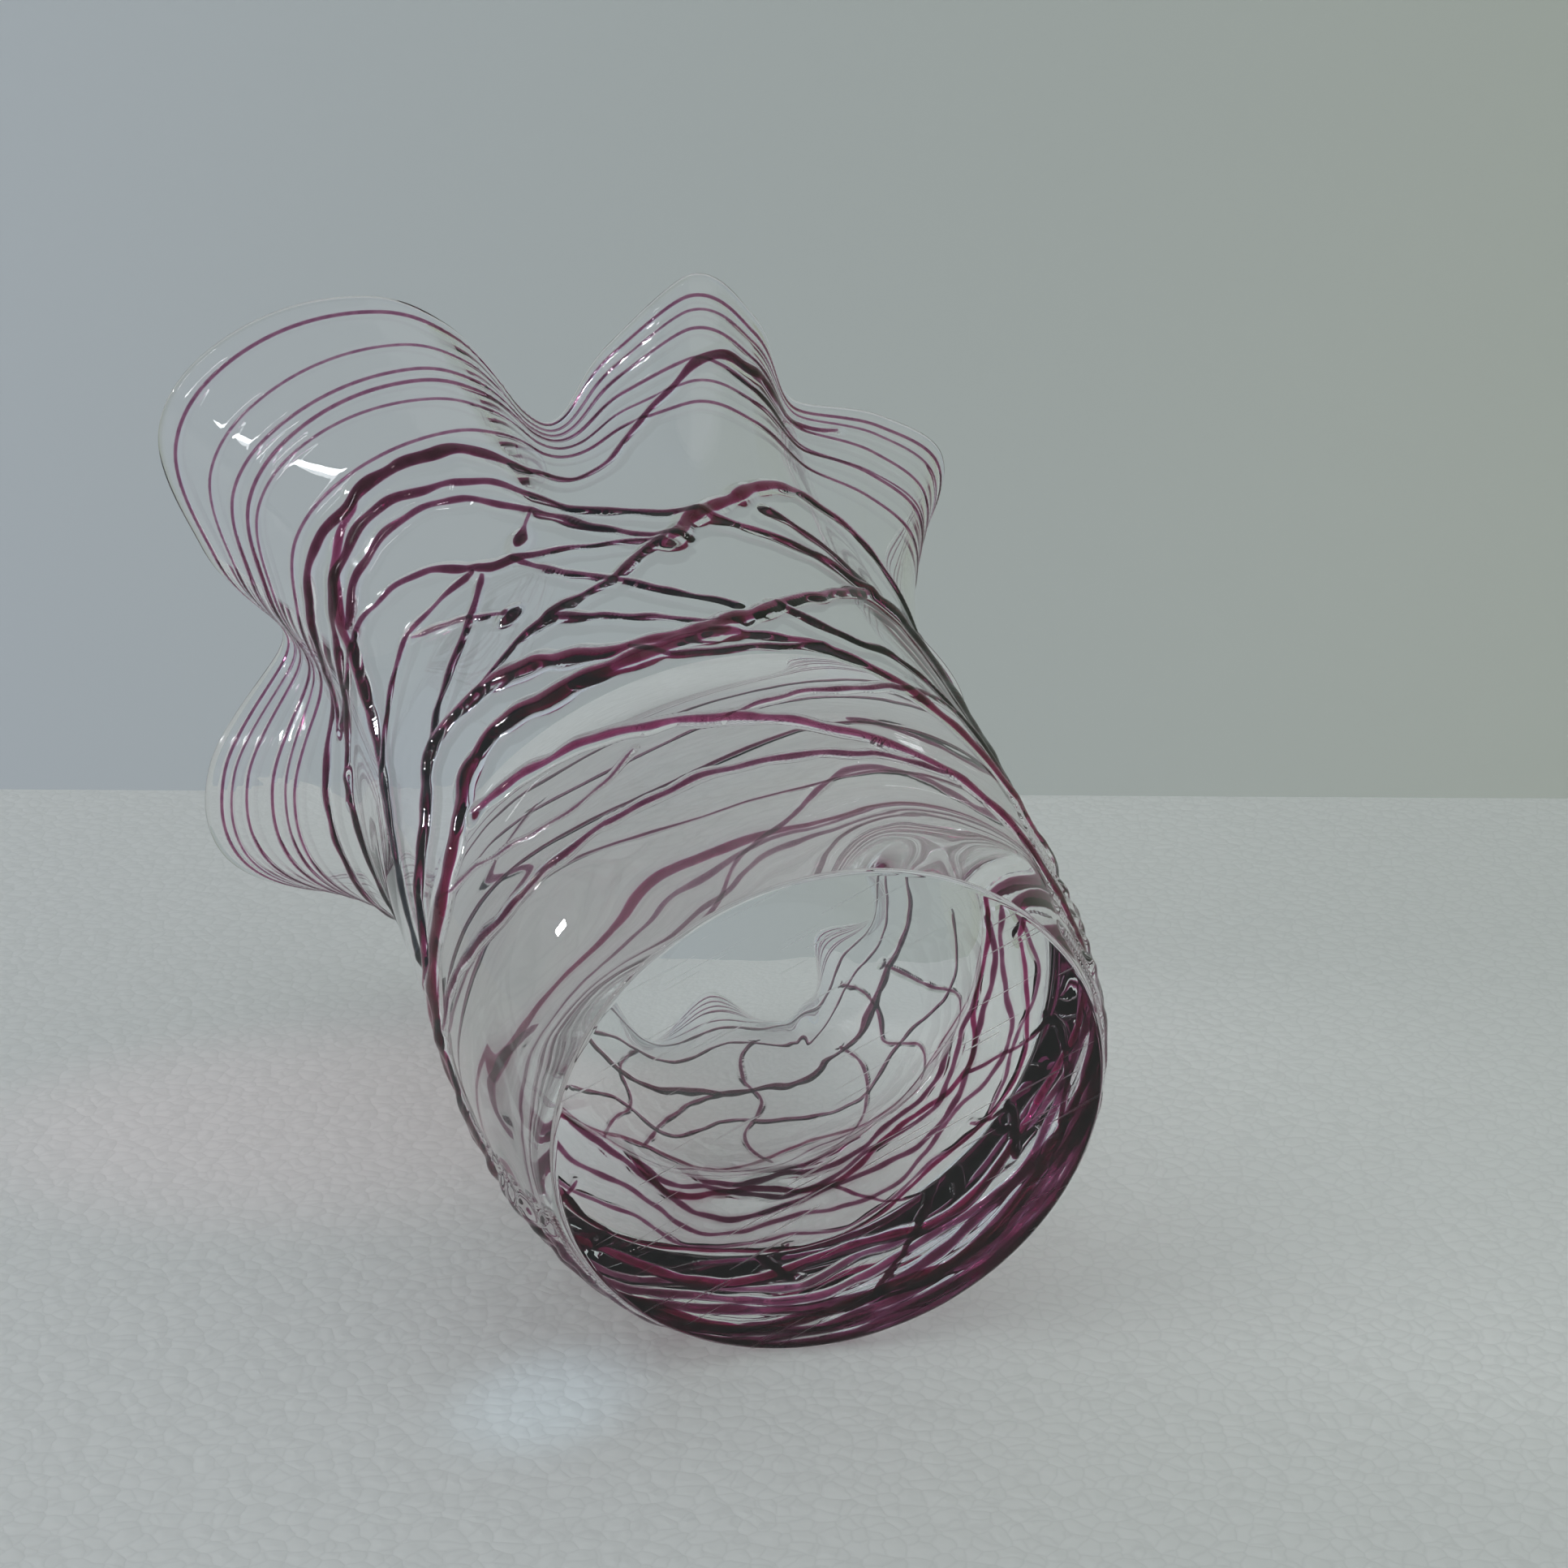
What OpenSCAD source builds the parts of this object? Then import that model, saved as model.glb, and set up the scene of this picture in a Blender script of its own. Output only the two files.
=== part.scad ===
// Hand blown vase of clear glass with a ruffled rim and trails of amethyst glass.
// It stands on its ground base: Z = 0 is the resting face, +Z is up, millimetres.
// Angles go round the vase from +X towards +Y; the face with the most trails looks towards -Y.

/* [Body] */
// Diameter of the flat, ground and polished foot
base_d = 84; // [74:1:104]
// How far the heel swells out beyond the foot, on the radius
heel_swell = 7.6; // [4:0.1:12]
// Height over which the heel rounds out
heel_h = 20; // [12:1:30]
// Widening of the radius from the heel up to the mouth
body_flare = 3.3; // [0:0.1:8]
// Height where the wall starts to swing out into the ruffle
neck_h = 100; // [80:1:122]
// Height of the highest point of the rim
vase_h = 163; // [140:1:200]
// How far the blown bubble stands off the centre of the foot
lean = 1.2; // [0:0.1:3]

/* [Glass thickness] */
// Wall of the body
wall = 2.9; // [2:0.1:4.5]
// Wall at the rim
rim_wall = 2.2; // [1.6:0.1:3.4]
// Solid glass under the middle of the well
base_t = 30; // [20:1:38]
// Height over which the well's bowl-shaped floor rises to the straight wall
well_rise = 30; // [16:1:38]

/* [Ruffle] */
// How strongly the rim is ruffled (1 = as made)
ruffle = 1; // [0.5:0.05:1.3]
// How far the outermost lobes hang below the valleys
lobe_drop = 11; // [4:0.5:18]

/* [Trails] */
// Width of the trails (1 = as made)
trail_width = 1; // [0.6:0.05:1.4]
// Height of a trail above the wall, as a share of its width
trail_relief = 0.46; // [0.3:0.02:0.7]
// How deep a trail is fused into the wall
trail_sink = 0.2; // [0.1:0.02:0.4]

/* [Hidden] */
base_r = base_d / 2;
CLEAR = [0.85, 0.90, 0.90, 0.35];
AMETHYST = [0.28, 0.04, 0.16];

columns = 120;            // facets round the body
ring_step = 6;            // longest step between two rings of a trail
lobe_top_r = 80;          // lip radius of a lobe that hangs fully down
valley_r = 54;            // lip radius of a valley that stands fully up

// The lip's radius at chosen angles: seven lobes and a small fold, with a valley between each pair.
LIP = [
    [7, 68], [20, 57], [42, 75], [66, 56], [90, 78], [114, 56], [137, 73], [158, 61], [171, 72], [184, 80],
    [197, 76], [215, 60], [230, 80], [241, 96], [253, 97], [268, 87], [275, 75], [281, 52],
    [289, 48], [299, 62], [308, 78], [319, 73], [334, 61], [346, 70], [356, 75]
];

// Each trail is laid through hand-chosen points: [angle, height, width].
// Heights are those of the vase as made, and stretch with its neck and its lip:
// 100 is always the neck, and 163 always the lip, counted along the ruffle.
MADE_NECK = 100;
MADE_H = 163;
HEAVY_UPPER = [[336, 93, 1.6], [315, 76, 1.8], [297, 65, 3.2], [279, 64, 2.8], [262, 74, 3.2],
    [248, 80, 2.2], [235, 80, 2.2], [228, 70, 2.6], [217, 62, 2.4], [207, 50, 2.4]];
HEAVY_LOWER = [[297, 62, 2.2], [281, 61, 3.2], [265, 62, 3.4], [252, 66, 3.0], [243, 64, 3.2],
    [236, 57, 3.4], [225, 50, 3.4], [211, 48, 3.6], [199, 45, 3.6], [190, 42, 3.4],
    [185, 28, 3.2], [181, 14, 2.8], [177, 6, 2.2]];
SHOULDER_TOP = [[212, 129, 1.2], [222, 136, 1.4], [231, 138, 1.8], [244, 138, 2.2], [259, 138, 2.8],
    [270, 136, 2.2], [277, 130, 1.4], [284, 128, 1.2], [292, 131, 1.2], [300, 139, 1.4], [309, 148, 2.0],
    [318, 151, 2.4], [327, 152, 1.6], [341, 156, 1.2]];
SHOULDER_MID = [[203, 120, 1.4], [214, 124, 1.8], [230, 130, 2.0], [241, 133, 2.4], [254, 134, 2.2],
    [265, 131, 1.6], [272, 127, 1.4], [279, 118, 1.6], [287, 111, 1.6], [295, 107, 1.6], [303, 106, 2.2]];
SHOULDER_LOW = [[235, 127, 2.2], [246, 130, 1.8], [257, 130, 1.6], [265, 127, 1.4], [274, 119, 1.6],
    [282, 108, 1.6], [290, 100, 1.4], [297, 97, 2.0]];
SHOULDER_SIDE = [[252, 138, 1.8], [241, 133, 2.4], [232, 126, 2.6], [225, 113, 2.2], [218, 92, 1.8],
    [211, 76, 1.6], [206, 60, 1.4]];
LOOP = [[295, 95, 2.4], [303, 106, 3.2], [312, 114, 2.8], [319, 121, 2.2], [330, 125, 1.8],
    [342, 123, 1.6], [354, 115, 1.4], [368, 102, 1.2]];
CROSSING = [[303, 106, 2.4], [311, 102, 1.8], [325, 98, 2.0], [336, 93, 2.6], [345, 92, 2.8],
    [353, 80, 2.6], [358, 66, 2.6], [363, 54, 2.2], [374, 44, 1.8]];
RIGHT_HEAVY = [[293, 62, 2.2], [306, 60, 1.8], [313, 58, 2.0], [321, 55, 2.2], [331, 51, 2.4],
    [342, 46, 2.6], [353, 41, 2.6], [366, 36, 2.2]];
RIGHT_LIGHT = [[308, 72, 1.4], [321, 64, 1.6], [330, 65, 1.4], [341, 61, 1.4], [354, 54, 1.6],
    [368, 50, 1.2]];
LOW_MAIN = [[240, 54, 1.6], [250, 51, 1.8], [262, 47, 1.8], [276, 42, 1.8], [294, 36, 1.8],
    [316, 30, 1.8], [332, 27, 2.0], [346, 22, 2.4], [357, 13, 2.4], [364, 7, 1.6]];
LOW_THIN = [[288, 37, 0.8], [302, 42, 1.0], [316, 46, 1.2], [328, 52, 1.4], [338, 57, 1.0], [350, 60, 0.8]];
LOW_LOWER = [[203, 42, 1.0], [218, 37, 1.4], [231, 31, 1.4], [244, 28, 1.4], [262, 26, 1.2],
    [286, 25, 1.2], [312, 26, 1.2], [329, 27, 1.0]];
STRAND_A = [[214, 128, 1.2], [229, 126, 1.2], [241, 124, 1.2], [253, 119, 1.4], [261, 111, 2.2],
    [267, 108, 2.0], [280, 101, 1.0], [294, 96, 1.2]];
STRAND_B = [[212, 82, 1.0], [219, 97, 1.2], [230, 107, 1.2], [241, 112, 1.2], [252, 112, 1.2],
    [260, 111, 1.8]];
STRAND_C = [[236, 80, 1.6], [241, 87, 1.2], [247, 92, 1.4], [254, 99, 1.6], [261, 109, 1.4]];
STRAND_DOT = [[243, 111, 0.9], [249, 106, 1.0], [255, 100, 1.2], [260, 95, 0.9], [262, 92, 2.0]];
STRAND_D = [[267, 108, 1.4], [274, 96, 1.2], [282, 87, 1.4], [290, 79, 1.2], [301, 71, 1.2]];
STRAND_E = [[250, 79, 1.4], [260, 83, 1.2], [269, 84, 2.4], [276, 86, 1.4], [282, 87, 1.8],
    [290, 94, 1.6], [295, 97, 2.2]];
STRAND_F = [[269, 84, 2.0], [277, 77, 1.4], [286, 71, 1.2], [296, 65, 1.2]];
STRAND_G = [[318, 112, 1.4], [325, 108, 1.6], [332, 102, 1.6], [336, 94, 2.0]];
STRAND_H = [[279, 64, 1.4], [283, 60, 1.6], [292, 57, 1.4], [304, 57, 1.4], [313, 58, 1.6]];
STRAND_J = [[224, 50, 0.7], [236, 44, 0.6], [250, 36, 0.6], [262, 34, 0.7], [272, 38, 0.6]];
DRIP = [[274, 119, 1.2], [272, 116, 0.9], [270, 112, 2.6], [269, 110, 2.0]];
// Trails on the side away from the main face.
BACK_LOW = [[199, 44, 2.4], [184, 36, 2.4], [166, 28, 2.8], [146, 32, 3.2], [124, 24, 3.0], [100, 30, 3.0],
    [76, 24, 3.0], [52, 32, 2.6], [28, 28, 2.4], [2, 37.5, 2.2]];
BACK_MID = [[207, 50, 2.4], [192, 54, 2.2], [172, 50, 2.4], [150, 58, 2.8], [126, 50, 2.6], [102, 56, 2.4],
    [78, 46, 2.4], [54, 52, 2.2], [32, 46, 2.0], [14, 44, 1.8]];
BACK_UPPER = [[207, 121, 1.8], [186, 108, 1.8], [166, 96, 2.0], [144, 88, 2.0], [120, 92, 2.2], [96, 84, 2.0],
    [72, 90, 1.8], [48, 96, 1.6], [26, 98, 1.4], [4, 106, 1.2]];
BACK_SHOULDER = [[222, 136, 1.4], [204, 132, 1.6], [184, 128, 1.6], [160, 134, 1.8], [136, 126, 1.8],
    [110, 132, 1.6], [84, 124, 1.6], [58, 130, 1.4], [32, 124, 1.4], [8, 120, 1.2]];
BACK_WEB = [[150, 58, 1.4], [142, 72, 1.2], [132, 84, 1.2], [120, 92, 1.6]];
BACK_LINK = [[100, 30, 1.6], [92, 42, 1.2], [84, 56, 1.2], [78, 72, 1.2], [80, 91, 1.4]];
BACK_BRANCH = [[52, 32, 1.6], [44, 44, 1.4], [40, 60, 1.2], [46, 78, 1.2], [50, 99, 1.4]];
BACK_NET_A = [[176, 66, 1.4], [158, 74, 1.2], [140, 68, 1.4], [122, 76, 1.2], [104, 70, 1.4], [84, 64, 1.2],
    [62, 72, 1.4], [40, 66, 1.2], [20, 74, 1.2]];
BACK_NET_B = [[178, 96, 1.0], [156, 112, 1.2], [132, 106, 1.4], [112, 116, 1.2], [90, 104, 1.2],
    [66, 112, 1.2], [44, 108, 1.0], [20, 116, 1.0]];
BACK_RISER_A = [[112, 49, 1.4], [116, 66, 1.2], [108, 80, 1.2], [112, 98, 1.2], [104, 116, 1.4]];
BACK_RISER_B = [[64, 45, 1.4], [60, 62, 1.2], [68, 78, 1.2], [62, 96, 1.2], [70, 118, 1.2]];
BACK_RISER_C = [[166, 45, 1.2], [160, 62, 1.2], [152, 76, 1.2], [156, 94, 1.2], [148, 112, 1.2]];

// Heavy trails laid close together round the back of the heel: [height, waviness, waves, turn, width].
HEEL_WRAPS = [[5.5, 1.2, 3, 0, 2.6], [10.5, 1.6, 4, 70, 3.0], [16, 2.0, 3, 150, 2.8],
    [21.5, 1.8, 5, 220, 3.0], [27, 2.4, 4, 300, 2.6], [33.5, 2.6, 3, 30, 2.8],
    [40, 2.8, 4, 110, 2.2], [47, 3.0, 5, 200, 1.8]];

// Fine threads wound round the ruffle: [height, waviness, waves, turn of the waves, width].
RIM_THREADS = [[160.5, 0.7, 3, 40, 0.9], [157, 1.2, 2, 120, 0.7], [153, 1.2, 3, 210, 0.8],
    [148.5, 1.6, 2, 300, 0.9], [146, 2.4, 3, 80, 0.7], [140.5, 1.4, 2, 10, 0.8]];

// ---- curves and surfaces ----

function smooth(x) = let (c = min(1, max(0, x))) c * c * (3 - 2 * c);
function unit(v) = v / norm(v);
function turn(a) = a - 360 * floor(a / 360);

// A smooth curve value between p1 and p2 (0..1), with its neighbours p0 and p3.
function between(p0, p1, p2, p3, t) =
    0.5 * (2 * p1 + (p2 - p0) * t + (2 * p0 - 5 * p1 + 4 * p2 - p3) * t * t
        + (3 * p1 - p0 - 3 * p2 + p3) * t * t * t);

// One entry of the lip, counted past its ends.
function lip_knot(i) = let (n = len(LIP), k = i - n * floor(i / n), w = floor(i / n))
    [LIP[k][0] + 360 * w, LIP[k][1]];
function lip_slope(i) = let (p = lip_knot(i - 1), q = lip_knot(i + 1)) (q[1] - p[1]) / (q[0] - p[0]);
function lip_span(a) = max([for (i = [0 : len(LIP) - 1]) if (LIP[i][0] <= a) i]);

// The lip's radius before the ruffle is scaled.
function made_lip_r(a) =
    let (b = turn(a) < LIP[0][0] ? turn(a) + 360 : turn(a),
         i = lip_span(b), p = lip_knot(i), q = lip_knot(i + 1), h = q[0] - p[0], t = (b - p[0]) / h)
    p[1] * (1 + 2 * t) * (1 - t) * (1 - t) + lip_slope(i) * h * t * (1 - t) * (1 - t)
        + q[1] * t * t * (3 - 2 * t) + lip_slope(i + 1) * h * t * t * (t - 1);

// The plain blown bubble, without the ruffle.
function bubble_r(z) = base_r + heel_swell * (1 - exp(-z / heel_h)) + body_flare * z / vase_h;

mouth_r = bubble_r(vase_h);
made_mouth_r = 52.9;
function lip_r(a) = mouth_r + ruffle * (made_lip_r(a) - made_mouth_r);
function lip_z(a) = vase_h - lobe_drop * smooth((made_lip_r(a) - valley_r) / (lobe_top_r - valley_r));

// A point of the outer skin: angle a, height h counted along the ruffle above the neck.
function skin(a, h) =
    let (t = max(0, (h - neck_h) / (vase_h - neck_h)),
         z = h <= neck_h ? h : neck_h + (lip_z(a) - neck_h) * t,
         r = h <= neck_h ? bubble_r(z) : bubble_r(z) + (lip_r(a) - bubble_r(lip_z(a))) * t * t)
    [r * cos(a) - lean * smooth(z / heel_h), r * sin(a), z];

function skin_up(a, h) = unit(skin(a, h + 0.5) - skin(a, h - 0.5));
function skin_out(a, h) = unit(cross(skin(a + 0.5, h) - skin(a - 0.5, h), skin_up(a, h)));

// ---- the clear body ----

outer_rows = [1.5, 4, 8, 13, 20, 30, 42, 56, 70, 85, neck_h, neck_h + (vase_h - neck_h) * 0.13,
    neck_h + (vase_h - neck_h) * 0.26, neck_h + (vase_h - neck_h) * 0.39, neck_h + (vase_h - neck_h) * 0.52,
    neck_h + (vase_h - neck_h) * 0.64, neck_h + (vase_h - neck_h) * 0.76, neck_h + (vase_h - neck_h) * 0.88,
    vase_h];
well_top = base_t + well_rise;
inner_rows = [for (i = [len(outer_rows) - 1 : -1 : 0]) if (outer_rows[i] > well_top + 4) outer_rows[i]];

function wall_at(h) = wall + (rim_wall - wall) * smooth((h - neck_h) / (vase_h - neck_h));
function inner_point(a, h) = skin(a, h) - wall_at(h) * skin_out(a, h);

// The rounded lip between the outer and the inner skin, 0 = outer, 180 = inner.
function lip_point(a, turn_deg) =
    skin(a, vase_h) + rim_wall / 2
        * ((cos(turn_deg) - 1) * skin_out(a, vase_h) + sin(turn_deg) * skin_up(a, vase_h));

// The well's bowl, half an ellipse: s = 0 where it meets the straight wall, 1 in the middle.
function well_point(a, s) =
    let (edge = inner_point(a, well_top), in = cos(90 * s))
    [edge[0] * in, edge[1] * in, base_t + well_rise * (1 - sin(90 * s))];

body_angles = [for (i = [0 : columns - 1]) i * 360 / columns];
body_rings = concat(
    [[for (a = body_angles) [base_r * cos(a), base_r * sin(a), 0]]],
    [for (h = outer_rows) [for (a = body_angles) skin(a, h)]],
    [for (q = [45, 90, 135]) [for (a = body_angles) lip_point(a, q)]],
    [for (h = inner_rows) [for (a = body_angles) inner_point(a, h)]],
    [for (s = [0, 0.12, 0.24, 0.36, 0.48, 0.6, 0.74, 0.88]) [for (a = body_angles) well_point(a, s)]]
);

function flat(rings) = [for (ring = rings) each ring];

// Skin of triangles between rings of n points, closed round each ring.
function tube_faces(rings, n) = [
    for (i = [0 : rings - 2]) for (j = [0 : n - 1])
        let (k = (j + 1) % n, a = i * n + j, b = i * n + k, c = a + n, d = b + n)
        each [[a, c, d], [a, d, b]]
];

module vase_body() {
    rings = len(body_rings);
    middle = rings * columns;
    color(CLEAR)
        polyhedron(
            points = concat(flat(body_rings), [well_point(0, 1)]),
            faces = concat(
                tube_faces(rings, columns),
                [[for (j = [0 : columns - 1]) j]],
                [for (j = [0 : columns - 1])
                    [middle - columns + j, middle, middle - columns + (j + 1) % columns]]
            ),
            convexity = 12
        );
}

// ---- trails ----

function arc_length(p, q) =
    norm([(q[0] - p[0]) * bubble_r(min(p[1], neck_h)) * PI / 180, q[1] - p[1]]);

// A height of the vase as made, carried over to this one.
function carried(h) =
    h <= MADE_NECK ? h * neck_h / MADE_NECK
        : neck_h + (h - MADE_NECK) * (vase_h - neck_h) / (MADE_H - MADE_NECK);

// The route with smooth steps put in between its chosen points.
function laid(made) = let (route = [for (p = made) [p[0], carried(p[1]), p[2]]], n = len(route)) concat(
    [for (i = [0 : n - 2])
        let (p0 = i == 0 ? 2 * route[0] - route[1] : route[i - 1],
             p1 = route[i], p2 = route[i + 1],
             p3 = i == n - 2 ? 2 * route[n - 1] - route[n - 2] : route[i + 2],
             steps = max(2, ceil(arc_length(p1, p2) / ring_step)))
        for (s = [0 : steps - 1]) between(p0, p1, p2, p3, s / steps)],
    [route[n - 1]]
);

// One section of a trail: a low dome whose flat underside is sunk into the wall.
function section(here, ahead, end_share) =
    let (a = here[0], h = here[1], w = here[2] * trail_width * end_share,
         p = skin(a, h), out = skin_out(a, h), side = unit(cross(ahead, out)),
         rise = here[2] * trail_width * trail_relief * end_share)
    [p - side * w / 2 - out * trail_sink, p - side * w * 0.38 + out * rise * 0.66, p + out * rise,
     p + side * w * 0.38 + out * rise * 0.66, p + side * w / 2 - out * trail_sink];

// The direction a trail runs in at step i.
function heading(path, i) =
    let (p = path[max(0, i - 1)], q = path[min(len(path) - 1, i + 1)])
    unit(skin(q[0], q[1]) - skin(p[0], p[1]));

module trail(route) {
    path = laid(route);
    n = len(path);
    rings = [for (i = [0 : n - 1]) section(path[i], heading(path, i), i == 0 || i == n - 1 ? 0.55 : 1)];
    color(AMETHYST)
        polyhedron(
            points = flat(rings),
            faces = concat(tube_faces(n, 5), [[0, 1, 2, 3, 4]], [[for (j = [4 : -1 : 0]) (n - 1) * 5 + j]]),
            convexity = 8
        );
}

// One of the heavy trails round the back of the heel.
module heel_wrap(k) {
    w = HEEL_WRAPS[k];
    trail([for (a = [184 : -12 : 4]) [a, w[0] + w[1] * sin(w[2] * a * 2 + w[3]), w[4]]]);
}

// A fine thread that closes on itself round the ruffle.
module rim_thread(k) {
    thread = RIM_THREADS[k];
    n = 72;
    path = [for (i = [0 : n - 1]) let (a = i * 360 / n)
        [a, min(vase_h - 1.5, carried(thread[0] + thread[1] * sin(thread[2] * a + thread[3]))), thread[4]]];
    rings = [for (i = [0 : n - 1])
        let (p = path[(i + n - 1) % n], q = path[(i + 1) % n])
        section(path[i], unit(skin(q[0], q[1]) - skin(p[0], p[1])), 1)];
    color(AMETHYST)
        polyhedron(
            points = flat(rings),
            faces = [for (i = [0 : n - 1]) for (j = [0 : 4])
                let (k = (j + 1) % 5, m = (i + 1) % n,
                     a = i * 5 + j, b = i * 5 + k, c = m * 5 + j, d = m * 5 + k)
                each [[a, c, d], [a, d, b]]],
            convexity = 12
        );
}

vase_body();
trail(HEAVY_UPPER);  // trail_heavy_upper
trail(HEAVY_LOWER);  // trail_heavy_lower
trail(SHOULDER_TOP);  // trail_shoulder_top
trail(SHOULDER_MID);  // trail_shoulder_mid
trail(SHOULDER_LOW);  // trail_shoulder_low
trail(SHOULDER_SIDE);  // trail_shoulder_side
trail(LOOP);  // trail_loop
trail(CROSSING);  // trail_crossing
trail(RIGHT_HEAVY);  // trail_right_heavy
trail(RIGHT_LIGHT);  // trail_right_light
trail(LOW_MAIN);  // trail_low_main
trail(LOW_THIN);  // trail_low_thin
trail(LOW_LOWER);  // trail_low_lower
trail(STRAND_A);  // strand_a
trail(STRAND_B);  // strand_b
trail(STRAND_C);  // strand_c
trail(STRAND_DOT);  // strand_dot
trail(STRAND_D);  // strand_d
trail(STRAND_E);  // strand_e
trail(STRAND_F);  // strand_f
trail(STRAND_G);  // strand_g
trail(STRAND_H);  // strand_h
trail(STRAND_J);  // strand_j
trail(DRIP);  // drip
trail(BACK_LOW);  // back_low
trail(BACK_MID);  // back_mid
trail(BACK_UPPER);  // back_upper
trail(BACK_SHOULDER);  // back_shoulder
trail(BACK_WEB);  // back_web
trail(BACK_LINK);  // back_link
trail(BACK_BRANCH);  // back_branch
trail(BACK_NET_A);  // back_net_a
trail(BACK_NET_B);  // back_net_b
trail(BACK_RISER_A);  // back_riser_a
trail(BACK_RISER_B);  // back_riser_b
trail(BACK_RISER_C);  // back_riser_c
heel_wrap(0);  // heel_wrap_1
heel_wrap(1);  // heel_wrap_2
heel_wrap(2);  // heel_wrap_3
heel_wrap(3);  // heel_wrap_4
heel_wrap(4);  // heel_wrap_5
heel_wrap(5);  // heel_wrap_6
heel_wrap(6);  // heel_wrap_7
heel_wrap(7);  // heel_wrap_8
rim_thread(0);  // rim_thread_1
rim_thread(1);  // rim_thread_2
rim_thread(2);  // rim_thread_3
rim_thread(3);  // rim_thread_4
rim_thread(4);  // rim_thread_5
rim_thread(5);  // rim_thread_6
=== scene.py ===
import math

import bpy
import numpy as np
from mathutils import Matrix, Vector


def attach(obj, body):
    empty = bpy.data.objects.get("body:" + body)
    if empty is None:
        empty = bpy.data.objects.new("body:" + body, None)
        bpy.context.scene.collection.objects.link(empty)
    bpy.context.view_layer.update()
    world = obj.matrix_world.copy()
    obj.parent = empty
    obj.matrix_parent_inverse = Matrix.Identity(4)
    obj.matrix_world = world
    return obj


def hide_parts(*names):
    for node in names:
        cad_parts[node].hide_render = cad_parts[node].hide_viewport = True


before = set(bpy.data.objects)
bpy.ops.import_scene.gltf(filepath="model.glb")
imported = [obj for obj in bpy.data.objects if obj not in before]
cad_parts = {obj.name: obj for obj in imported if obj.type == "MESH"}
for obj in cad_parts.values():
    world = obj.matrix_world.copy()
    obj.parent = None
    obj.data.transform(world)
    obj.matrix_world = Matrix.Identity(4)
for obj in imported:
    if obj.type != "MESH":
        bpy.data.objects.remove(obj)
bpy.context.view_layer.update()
MM = 0.001

# ---------------------------------------------------------------- the vase's own numbers, in millimetres

BASE_R = 42.0
HEEL_SWELL = 7.6
HEEL_H = 20.0
BODY_FLARE = 3.3
NECK_H = 100.0
VASE_H = 163.0
LEAN = 1.2
WALL = 2.9
RIM_WALL = 2.2
BASE_T = 30.0
WELL_RISE = 30.0
LOBE_DROP = 11.0
LOBE_TOP_R = 80.0
VALLEY_R = 54.0

# The lip's radius at chosen angles, as in the CAD part.
LIP = np.array([
    (7, 68), (20, 57), (42, 75), (66, 56), (90, 78), (114, 56), (137, 73), (158, 61), (171, 72), (184, 80),
    (197, 76), (215, 60), (230, 80), (241, 96), (253, 97), (268, 87), (275, 75), (281, 52),
    (289, 48), (299, 62), (308, 78), (319, 73), (334, 61), (346, 70), (356, 75)], float)

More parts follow.
